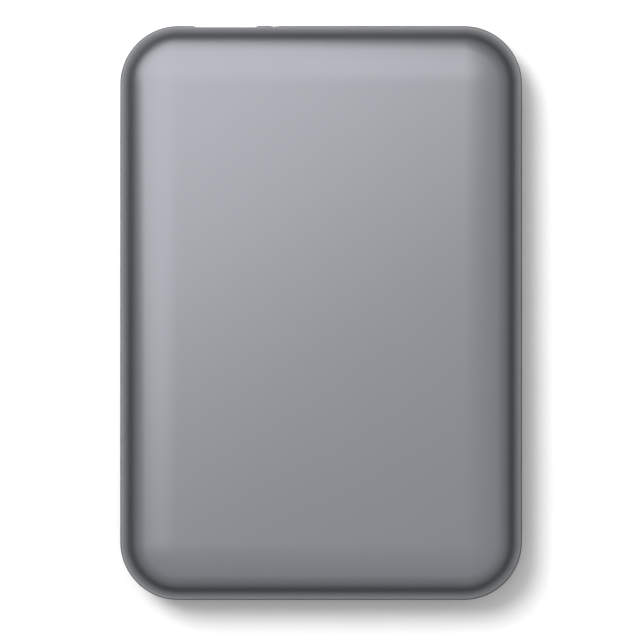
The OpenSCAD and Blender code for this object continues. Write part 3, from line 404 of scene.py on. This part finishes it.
# %% [markdown]
# ## The finishes
# The housing is a moulding in satin metal-flake paint, grey with a cool tint, over the mould's
# fine grain. It is nearly all metal to the shader, since flakes mirror in their own colour. What
# lies inside is hidden once the halves are closed, but each piece has its maker's own finish:
# nickel on the magnets, rings on the turned hub, a mirror on the discs, rolled lines on the cover
# and a green mask on the boards.

# %% Plastics, rubber and film
finish("housing", (0.101, 0.106, 0.114), (0.109, 0.114, 0.123), (0.36, 0.40), GRAIN, 4600, 0.008, 0.3,
       0.95, mottle=25)
finish("clear_plastic", (0.86, 0.88, 0.90), (0.95, 0.97, 0.98), (0.12, 0.22), GRAIN, 2500, 0.002, 0.1,
       Transmission_Weight=0.85, IOR=1.49)
finish("rubber", (0.014, 0.014, 0.015), (0.030, 0.030, 0.031), (0.72, 0.88), GRAIN, 3500, 0.02, 0.5)
finish("connector_plastic", (0.016, 0.016, 0.017), (0.032, 0.032, 0.033), (0.40, 0.55), BRUSHED, 5200,
       0.004, 0.25)
finish("chip", (0.012, 0.012, 0.013), (0.028, 0.028, 0.029), (0.50, 0.66), GRAIN, 9000, 0.006, 0.4)
finish("ramp_plastic", (0.64, 0.60, 0.48), (0.74, 0.71, 0.60), (0.24, 0.34), GRAIN, 3000, 0.003, 0.2)
finish("flex_film", (0.34, 0.13, 0.015), (0.50, 0.22, 0.04), (0.18, 0.30), BRUSHED, 3600, 0.003, 0.2,
       Coat_Weight=0.4, Coat_Roughness=0.1)
finish("filter_cloth", (0.62, 0.62, 0.58), (0.80, 0.80, 0.77), (0.85, 0.95), GRAIN, 7000, 0.05, 0.8)
finish("circuit_board", (0.006, 0.070, 0.030), (0.012, 0.115, 0.052), (0.20, 0.34), BRUSHED, 1500,
       0.012, 0.5, Coat_Weight=0.5, Coat_Roughness=0.12)
finish("ceramic", (0.42, 0.30, 0.18), (0.60, 0.47, 0.32), (0.30, 0.45), GRAIN, 9000, 0.003, 0.3)
print("finishes so far:", len(FINISHES))

# %% [markdown]
# Metals mirror in their own colour, so they differ by that colour, by how rough they are and by
# the marks of how they were made. Lathe rings need the axis that they run round.

# %% Metals
SPINDLE = (0, -0.01675, 0)
PIVOT = (-0.015, 0.02625, 0)
finish("foil", (0.72, 0.73, 0.74), (0.86, 0.87, 0.88), (0.16, 0.34), BRUSHED, 900, 0.03, 0.5, 1.0)
finish("steel", (0.52, 0.52, 0.53), (0.64, 0.64, 0.65), (0.22, 0.38), BRUSHED, 6000, 0.003, 0.3, 1.0)
finish("cover_steel", (0.56, 0.56, 0.57), (0.68, 0.68, 0.69), (0.28, 0.42), BRUSHED, 7000, 0.004, 0.4,
       1.0)
finish("hub_steel", (0.56, 0.56, 0.57), (0.68, 0.68, 0.69), (0.18, 0.32), TURNED, 9000, 0.003, 0.4,
       1.0, centre=SPINDLE)
finish("gold", (0.72, 0.46, 0.14), (0.88, 0.62, 0.26), (0.16, 0.28), BRUSHED, 8000, 0.002, 0.2, 1.0)
finish("cast_aluminium", (0.44, 0.45, 0.46), (0.60, 0.61, 0.62), (0.40, 0.60), GRAIN, 1900, 0.03, 0.6,
       1.0)
finish("iron", (0.34, 0.34, 0.33), (0.46, 0.46, 0.45), (0.30, 0.46), GRAIN, 2600, 0.01, 0.4, 1.0)
finish("magnet", (0.42, 0.42, 0.41), (0.54, 0.54, 0.53), (0.26, 0.40), GRAIN, 5200, 0.01, 0.4, 1.0)
finish("copper", (0.52, 0.17, 0.06), (0.74, 0.30, 0.13), (0.22, 0.36), TURNED, 4200, 0.02, 0.8, 1.0,
       centre=PIVOT, Coat_Weight=0.4, Coat_Roughness=0.15)
finish("bronze", (0.42, 0.26, 0.10), (0.56, 0.38, 0.18), (0.28, 0.42), TURNED, 7000, 0.004, 0.4, 1.0,
       centre=SPINDLE)
finish("disc_mirror", (0.74, 0.74, 0.75), (0.80, 0.80, 0.81), (0.03, 0.06), TURNED, 2500, 0.0002, 0.1,
       1.0, centre=SPINDLE)
print("finishes:", len(FINISHES))

# %% [markdown]
# ## Dressing the CAD nodes
# A CAD node keeps its shape and gets its finish. Its mesh is loose triangles, so two modifiers
# finish the look: Weld joins them, and Edge Split lets each edge over 30 degrees stay crisp while
# the round parts shade smooth.

# %% Which node has which finish
DRESS = {
    "housing": ["top_shell", "bottom_shell"],
    "clear_plastic": ["light_pipe"],
    "rubber": ["bumper_port_left", "bumper_port_right", "bumper_far_left", "bumper_far_right"],
    "foil": ["shield_foil"],
    "circuit_board": ["bridge_board", "drive_board"],
    "chip": ["bridge_chip", "bridge_flash", "drive_controller", "drive_memory", "motor_driver"],
    "ceramic": ["bridge_passives", "activity_led", "sliders"],
    "steel": ["bridge_crystal", "usb_shell", "cover_screws", "spindle_shaft", "thrust_plate",
              "pivot_shaft", "pivot_bearing_lower", "pivot_bearing_upper", "clamp_screws",
              "suspensions", "board_screws", "crash_stops"],
    "cover_steel": ["drive_cover", "disc_clamp"],
    "hub_steel": ["spindle_hub", "platter_spacer", "pivot_sleeve"],
    "connector_plastic": ["usb_tongue", "sata_receptacle", "sata_plug"],
    "gold": ["usb_contacts", "sata_receptacle_tails", "sata_plug_contacts"],
    "cast_aluminium": ["drive_base", "arm_block", "flex_bracket"],
    "filter_cloth": ["cover_gasket", "breather_filter", "air_filter"],
    "iron": ["stator_core", "lower_yoke", "upper_yoke"],
    "copper": ["stator_windings", "voice_coil"],
    "bronze": ["spindle_sleeve"],
    "magnet": ["rotor_magnet", "lower_magnet", "upper_magnet"],
    "disc_mirror": ["lower_platter", "upper_platter"],
    "ramp_plastic": ["load_ramp"],
    "flex_film": ["head_flex"],
}
CRISP = math.radians(30)
WELD_DISTANCE = 1e-6


def dress(node, material):
    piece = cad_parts[node]
    piece.data.materials.clear()
    piece.data.materials.append(material)
    for face in piece.data.polygons:
        face.use_smooth = True
        face.material_index = 0
    weld = piece.modifiers.new("weld", "WELD")
    weld.merge_threshold = WELD_DISTANCE
    split = piece.modifiers.new("crisp_edges", "EDGE_SPLIT")
    split.split_angle = CRISP


for slot, nodes in DRESS.items():
    for node in nodes:
        dress(node, FINISHES[slot])
bare = set(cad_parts) - {n for nodes in DRESS.values() for n in nodes}
print("nodes dressed:", sum(map(len, DRESS.values())), "left bare:", sorted(bare))

# %% [markdown]
# ## The housing's section
# Each half of the housing is a thin shell, so its section is one line: down the outer skin, across
# the rim, and back up the inner skin. A mesh made from this line with many short steps shows a
# clean soft shine, which the coarser CAD triangles can't. The points are distances out from the
# corner's centre, and heights away from the middle plane. Behind a narrow land the lower rim falls
# away, so the seam is a fine groove: a dark line with a thin bright rim outside it.

# %% One skin of the section
SOFT_STEPS, EDGE_STEPS, CORNER_STEPS = 12, 36, 30


def skin(inset, drop, end):
    """Points from the flat face down to a height above the middle plane."""
    w, h = CORNER_R - inset, MID_Z - drop
    spread = (w - h) / (math.sin(SHOULDER) - 1 + math.cos(SHOULDER))
    edge_r = h - (1 - math.cos(SHOULDER)) * spread
    soft_r = edge_r + spread
    points = []
    for i in range(SOFT_STEPS):
        a = SHOULDER * i / SOFT_STEPS
        points.append((soft_r * math.sin(a), h - soft_r * (1 - math.cos(a))))
    last = math.acos(end / edge_r)
    for i in range(EDGE_STEPS + 1):
        a = SHOULDER + (last - SHOULDER) * i / EDGE_STEPS
        points.append((w - edge_r + edge_r * math.sin(a), edge_r * math.cos(a)))
    return points


GROOVE_TOP = TONGUE_H + 2 * TONGUE_FIT
top_line = skin(LIP_STEP, 0, HALF_GAP)
top_line += [(CORNER_R - LIP + TONGUE_FIT, HALF_GAP), (CORNER_R - LIP + TONGUE_FIT, GROOVE_TOP)]
top_line += reversed(skin(WALL, WALL, GROOVE_TOP))
LEDGE = HALF_GAP + 0.5
RIM_LAND, SEAM_IN, SEAM_DEPTH = 0.13, 0.25, 0.2
bottom_line = skin(0, 0, HALF_GAP)
bottom_line += [(CORNER_R - RIM_LAND, HALF_GAP), (CORNER_R - SEAM_IN, HALF_GAP + SEAM_DEPTH),
                (CORNER_R - LIP, HALF_GAP + SEAM_DEPTH), (CORNER_R - LIP, -TONGUE_H),
                (CORNER_R - LIP - TONGUE, -TONGUE_H), (CORNER_R - LIP - TONGUE, LEDGE)]
bottom_line += reversed(skin(WALL, WALL, LEDGE))
print("section points:", len(top_line), len(bottom_line))

# %% [markdown]
# ## Sweeping the section round the plan
# The plan is a rectangle with round corners, the same in each quarter. So one quarter is made:
# the line is spun through a right angle about the corner's centre, and pulled straight from both
# ends of the turn to the middle planes. Two mirrors give the rest, and filling the two holes
# left in the middle closes the wall. An inset near the fill's rim keeps the big flat truly flat
# when the normals are smoothed.

# %% Sweep
SAME_PLACE, MIRROR_MERGE = 1e-7, 1e-6
FLAT_INSETS = (2, 6)


def only(kind, geometry):
    return [g for g in geometry if isinstance(g, kind)]


def pull(bm, edges, vector):
    made = bmesh.ops.extrude_edge_only(bm, edges=edges)["geom"]
    bmesh.ops.translate(bm, vec=vector, verts=only(bmesh.types.BMVert, made))


def sweep(line, side):
    cx, cy = (BODY_W / 2 - CORNER_R) * MM, (BODY_L / 2 - CORNER_R) * MM
    bm = bmesh.new()
    verts = [bm.verts.new((cx + s * MM, cy, (MID_Z + side * z) * MM)) for s, z in line]
    edges = [bm.edges.new(pair) for pair in zip(verts, verts[1:])]
    turned = bmesh.ops.spin(bm, geom=verts + edges, cent=(cx, cy, 0), axis=(0, 0, 1),
                            angle=math.pi / 2, steps=CORNER_STEPS, use_merge=False)
    pull(bm, edges, (0, -cy, 0))
    pull(bm, only(bmesh.types.BMEdge, turned["geom_last"]), (-cx, 0, 0))
    bmesh.ops.remove_doubles(bm, verts=bm.verts, dist=SAME_PLACE)
    for axis in "XY":
        bmesh.ops.mirror(bm, geom=bm.verts[:] + bm.edges[:] + bm.faces[:],
                         matrix=Matrix.Identity(4), merge_dist=MIRROR_MERGE, axis=axis)
    open_edges = [e for e in bm.edges if e.is_boundary]
    flats = bmesh.ops.holes_fill(bm, edges=open_edges, sides=0)["faces"]
    bmesh.ops.recalc_face_normals(bm, faces=bm.faces)
    for thickness in FLAT_INSETS:
        bmesh.ops.inset_region(bm, faces=flats, thickness=thickness * MM)
    return bm, len(flats)


# %% [markdown]
# ## Crisp rims and clean objects
# A moulded rim isn't a knife edge: a tiny bevel there catches the light along the seam. Then the
# mesh becomes an object whose origin is the frame's own origin.

# %% Rims and objects
RIM_ROUND = 0.05
RIM_TURN = 1.0


def round_rims(bm, height):
    rims = [e for e in bm.edges
            if all(abs(v.co.z - height * MM) < SAME_PLACE for v in e.verts)
            and e.calc_face_angle(0) > RIM_TURN]
    bmesh.ops.bevel(bm, geom=rims, offset=RIM_ROUND * MM, segments=2, profile=0.5,
                    affect="EDGES", material=-1)
    return len(rims)


def make_object(bm, name):
    mesh = bpy.data.meshes.new(name)
    bm.to_mesh(mesh)
    bm.free()
    piece = bpy.data.objects.new(name, mesh)
    bpy.context.scene.collection.objects.link(piece)
    return piece


halves = {}
for name, line, side in (("top_half", top_line, 1), ("bottom_half", bottom_line, -1)):
    bm, flats = sweep(line, side)
    rims = round_rims(bm, MID_Z + side * HALF_GAP)
    open_count = sum(e.is_boundary for e in bm.edges)
    halves[name] = make_object(bm, name)
    print(name, "flats", flats, "rim edges", rims, "open edges", open_count)

# %% [markdown]
# ## What the mould adds and cuts
# Inside, each half has a lattice of ribs over the drive, and the lower half has two stepped posts
# for the small board and a row of snap beads on its tongue. The port and the hole for the light
# are cut through both halves. These come from simple bars and pins, joined or cut with exact
# Boolean modifiers whose result becomes the mesh.

# %% Bars and pins
BAR_ROUND_STEPS = 10


def add_bar(bm, low, high, radius=0.0):
    """A bar between two corners, in millimetres, with its edges along Y rounded by a radius."""
    low, high = Vector(low) * MM, Vector(high) * MM
    cube = bmesh.ops.create_cube(bm, size=1)["verts"]
    bmesh.ops.scale(bm, vec=high - low, verts=cube)
    bmesh.ops.translate(bm, vec=(low + high) / 2, verts=cube)
    if radius:
        edges = {e for v in cube for e in v.link_edges}
        lengthwise = [e for e in edges if abs((e.verts[0].co - e.verts[1].co).normalized().y) > 0.9]
        bmesh.ops.bevel(bm, geom=lengthwise, offset=radius * MM, segments=BAR_ROUND_STEPS,
                        profile=0.5, affect="EDGES", material=-1)


def add_pin(bm, centre, radius, length, axis="Z", segments=32):
    """A pin through a centre, in millimetres."""
    turn = {"X": Matrix.Rotation(math.pi / 2, 4, "Y"), "Y": Matrix.Rotation(math.pi / 2, 4, "X"),
            "Z": Matrix.Identity(4)}[axis]
    bmesh.ops.create_cone(bm, cap_ends=True, segments=segments, radius1=radius * MM,
                          radius2=radius * MM, depth=length * MM,
                          matrix=Matrix.Translation(Vector(centre) * MM) @ turn)


def combine(piece, bm, operation):
    """Joins a tool to a piece or cuts it away, and keeps the result as the piece's mesh."""
    tool = make_object(bm, "tool")
    change = piece.modifiers.new("change", "BOOLEAN")
    change.operation, change.object = operation, tool
    change.solver, change.use_self = "EXACT", True
    bpy.context.view_layer.update()
    done = piece.evaluated_get(bpy.context.evaluated_depsgraph_get())
    mesh = bpy.data.meshes.new_from_object(done)
    piece.modifiers.clear()
    piece.data = mesh
    bpy.data.objects.remove(tool)
    return len(mesh.polygons)


# %% [markdown]
# Ribs stiffen a thin wall without the sink marks that a thick one would get. The posts carry the
# board on a shoulder and centre it with a peg, so each is two pins. The beads snap into the upper
# half's hollows, which are cut a little larger along with the port.

# %% Ribs, posts and snap beads
RIB_T, RIB_PITCH = 0.9, 26
RIB_X, RIB_REACH_X, RIB_REACH_Y, RIB_Y = 9.57, 23.925, 31.175, -1.575
LOWER_RIBS, UPPER_RIBS = (0.8, 3.6), (11.2, 14.0)
POST_X, POST_Y = 26.7, 51.825
POST_Z, POST_R, POST_H = 3.33, 1.5, 3.44
PEG_Z, PEG_R, PEG_H = 4.05, 0.55, 4.9
BEAD_Z = MID_Z + 0.55 * TONGUE_H
BEAD_SINK, BEAD_PITCH, END_BEAD_X, BEAD_STEPS = 0.08, 32, 14, 16
BEAD_R, BEAD_L = 0.3, 8
HOLLOW_R, HOLLOW_L = 0.4, 9


def add_ribs(bm, low, high):
    for x in (-RIB_X, RIB_X):
        add_bar(bm, (x - RIB_T / 2, RIB_Y - RIB_REACH_Y, low), (x + RIB_T / 2, RIB_Y + RIB_REACH_Y, high))
    for step in (-1, 0, 1):
        y = RIB_Y + step * RIB_PITCH
        add_bar(bm, (-RIB_REACH_X, y - RIB_T / 2, low), (RIB_REACH_X, y + RIB_T / 2, high))


def add_beads(bm, radius, length):
    x, y = BODY_W / 2 - LIP - BEAD_SINK, BODY_L / 2 - LIP - BEAD_SINK
    for side in (-1, 1):
        for step in (-1, 0, 1):
            add_pin(bm, (side * x, step * BEAD_PITCH, BEAD_Z), radius, length, "Y", BEAD_STEPS)
        add_pin(bm, (side * END_BEAD_X, -y, BEAD_Z), radius, length, "X", BEAD_STEPS)


added = bmesh.new()
add_ribs(added, *UPPER_RIBS)
print("top half with ribs:", combine(halves["top_half"], added, "UNION"), "faces")
added = bmesh.new()
add_ribs(added, *LOWER_RIBS)
for side in (-1, 1):
    add_pin(added, (side * POST_X, POST_Y, POST_Z), POST_R, POST_H)
    add_pin(added, (side * POST_X, POST_Y, PEG_Z), PEG_R, PEG_H)
add_beads(added, BEAD_R, BEAD_L)
print("bottom half with ribs and posts:", combine(halves["bottom_half"], added, "UNION"), "faces")

# %% [markdown]
# The port's opening is a bar with rounded edges, half in each half of the housing, and the light's
# hole beside it is a pin. Both reach past the wall on either side, so that the cut is clean.

# %% The port and the light's hole
PORT_X, PORT_W, PORT_H, PORT_R = -19.0, 12.6, 3.0, 0.6
PORT_IN, PORT_OUT = 4.6, 1.4
LIGHT_X, LIGHT_R, LIGHT_IN, LIGHT_L = -9.2, 0.92, 2, 7


def add_port(bm):
    end = BODY_L / 2
    add_bar(bm, (PORT_X - PORT_W / 2, end - PORT_IN, MID_Z - PORT_H / 2),
            (PORT_X + PORT_W / 2, end + PORT_OUT, MID_Z + PORT_H / 2), PORT_R)
    add_pin(bm, (LIGHT_X, end - LIGHT_IN, MID_Z), LIGHT_R, LIGHT_L, "Y", 48)


for name, half in halves.items():
    cut = bmesh.new()
    add_port(cut)
    if name == "top_half":
        add_beads(cut, HOLLOW_R, HOLLOW_L)
    print(name, "with its port:", combine(half, cut, "DIFFERENCE"), "faces")

# %% [markdown]
# ## Finishing the halves
# The halves get the housing's finish and take the place of their CAD nodes. Faces shade smooth
# except across sharp edges, and weighted normals let the large flat faces rule their corners.

# %% Finish the halves
FLAT_RULE = 90


def coat(piece, slot):
    piece.data.materials.clear()
    piece.data.materials.append(FINISHES[slot])
    piece.data.shade_smooth()
    piece.data.set_sharp_from_angle(angle=CRISP)


for name, node in (("top_half", "top_shell"), ("bottom_half", "bottom_shell")):
    half = halves[name]
    coat(half, "housing")
    weighted = half.modifiers.new("weighted_normals", "WEIGHTED_NORMAL")
    weighted.keep_sharp = True
    weighted.weight = FLAT_RULE
    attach(half, "enclosure")
    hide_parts(node)
    print(name, "stands for", node)

# %% [markdown]
# ## The ribbon that bends
# The arms' signals leave on a ribbon of copper and film, bent in a half turn from its bracket to
# As a solid it can't bend, so this one is a strip that is spun from one upright edge and given its
# thickness.

# %% Ribbon
FLEX_T = 0.12
FLEX_CUTS, FLEX_STEPS = 3, 48
low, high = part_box("head_flex")
flex_x, flex_y = (low[0] + high[0]) / 2, low[1]
flex_r = (high[0] - low[0] - FLEX_T * MM) / 2
bm = bmesh.new()
upright = bm.edges.new([bm.verts.new((flex_x + flex_r, flex_y, z)) for z in (low[2], high[2])])
bmesh.ops.subdivide_edges(bm, edges=[upright], cuts=FLEX_CUTS)
bmesh.ops.spin(bm, geom=bm.verts[:] + bm.edges[:], cent=(flex_x, flex_y, 0), axis=(0, 0, 1),
               angle=math.pi, steps=FLEX_STEPS, use_merge=False)
bmesh.ops.recalc_face_normals(bm, faces=bm.faces)
bmesh.ops.solidify(bm, geom=bm.faces[:], thickness=FLEX_T * MM / 2)
ribbon = make_object(bm, "flex_ribbon")
coat(ribbon, "flex_film")
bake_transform(ribbon)
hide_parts("head_flex")
print(f"ribbon bent to {flex_r / MM:.2f} mm")

# %% [markdown]
# ## Floor
# The drive lies on a plain sweep of matte paper with the faintest tooth. It is a pale grey, so that
# the edge of the housing doesn't mirror it too brightly, and its own lamp burns it out to white.
# The lamp lights only what is in its receiver collection, but the housing still casts its shadow.
# Seen from below the paper is clear, also to what the light does after it, which the count of
# clear surfaces passed tells. So the underside of the housing can be looked at too.

# %% Floor
FLOOR_SIDE, FLOOR_DROP = 3.0, 0.00005
bm = bmesh.new()
bmesh.ops.create_grid(bm, x_segments=1, y_segments=1, size=FLOOR_SIDE / 2)
bmesh.ops.translate(bm, vec=(0, 0, -FLOOR_DROP), verts=bm.verts)
floor = make_object(bm, "floor")
finish("paper", (0.33, 0.33, 0.33), (0.36, 0.36, 0.36), (0.85, 0.95), GRAIN, 1500, 0.002, 0.1)
paper = FINISHES["paper"].node_tree
matte = paper.nodes["Principled BSDF"]
behind = paper.nodes.new("ShaderNodeNewGeometry").outputs["Backfacing"]
clear = paper.nodes.new("ShaderNodeBsdfTransparent")
passed = paper.nodes.new("ShaderNodeLightPath").outputs
either_way = math_node(paper, "MAXIMUM", behind, passed["Transparent Depth"])
one_sided = mix_shaders(paper, either_way, matte.outputs[0], clear.outputs[0])
paper.links.new(one_sided, paper.nodes["Material Output"].inputs["Surface"])
floor.data.materials.append(FINISHES["paper"])
print("floor", FLOOR_SIDE, "m square")

# %% [markdown]
# The paper that the housing mirrors seems to end a few centimetres away, as on a small table in a dark
# room. That widens the dark band round the shoulder downwards. The distance past the housing's sides is
# worked out from the position, and beyond it the paper's colour is painted nearly black, a painted shade
# that stands for the dark room, seen in reflections but not by the camera.

# %% The table's end, painted as shade
TABLE_FROM, TABLE_TO, PAINTED_SHADE_BEYOND = 0.030, 0.044, 0.1
where = paper.nodes.new("ShaderNodeTexCoord")
axes = paper.nodes.new("ShaderNodeSeparateXYZ")
paper.links.new(where.outputs["Object"], axes.inputs[0])
past = [math_node(paper, "SUBTRACT", math_node(paper, "ABSOLUTE", axes.outputs[axis]), side * MM / 2)
        for axis, side in (("X", BODY_W), ("Y", BODY_L))]
# Past the table's end the paper's colour is painted dark: painted shade for every ray but the camera's.
near = soft_step(paper, math_node(paper, "MAXIMUM", *past), (TABLE_FROM, TABLE_TO), 1, PAINTED_SHADE_BEYOND)
shown = math_node(paper, "MAXIMUM", near, passed["Is Camera Ray"])
base = matte.inputs["Base Color"]
paper.links.new(mix_colours(paper, shown, BLACK, base.links[0].from_socket), base)
print("paper is mirrored up to", TABLE_TO / MM, "mm from the housing")

# %% [markdown]
# A lamp's receiver collection names the only things that it lights. With the floor alone in it,
# the sweep lamp can be as strong as white paper needs and leave the housing as it is.

# %% The sweep's own lamp
lit_apart = bpy.data.collections.new("lit_by_the_sweep_lamp")
lit_apart.objects.link(floor)
sweep_lamp.light_linking.receiver_collection = lit_apart
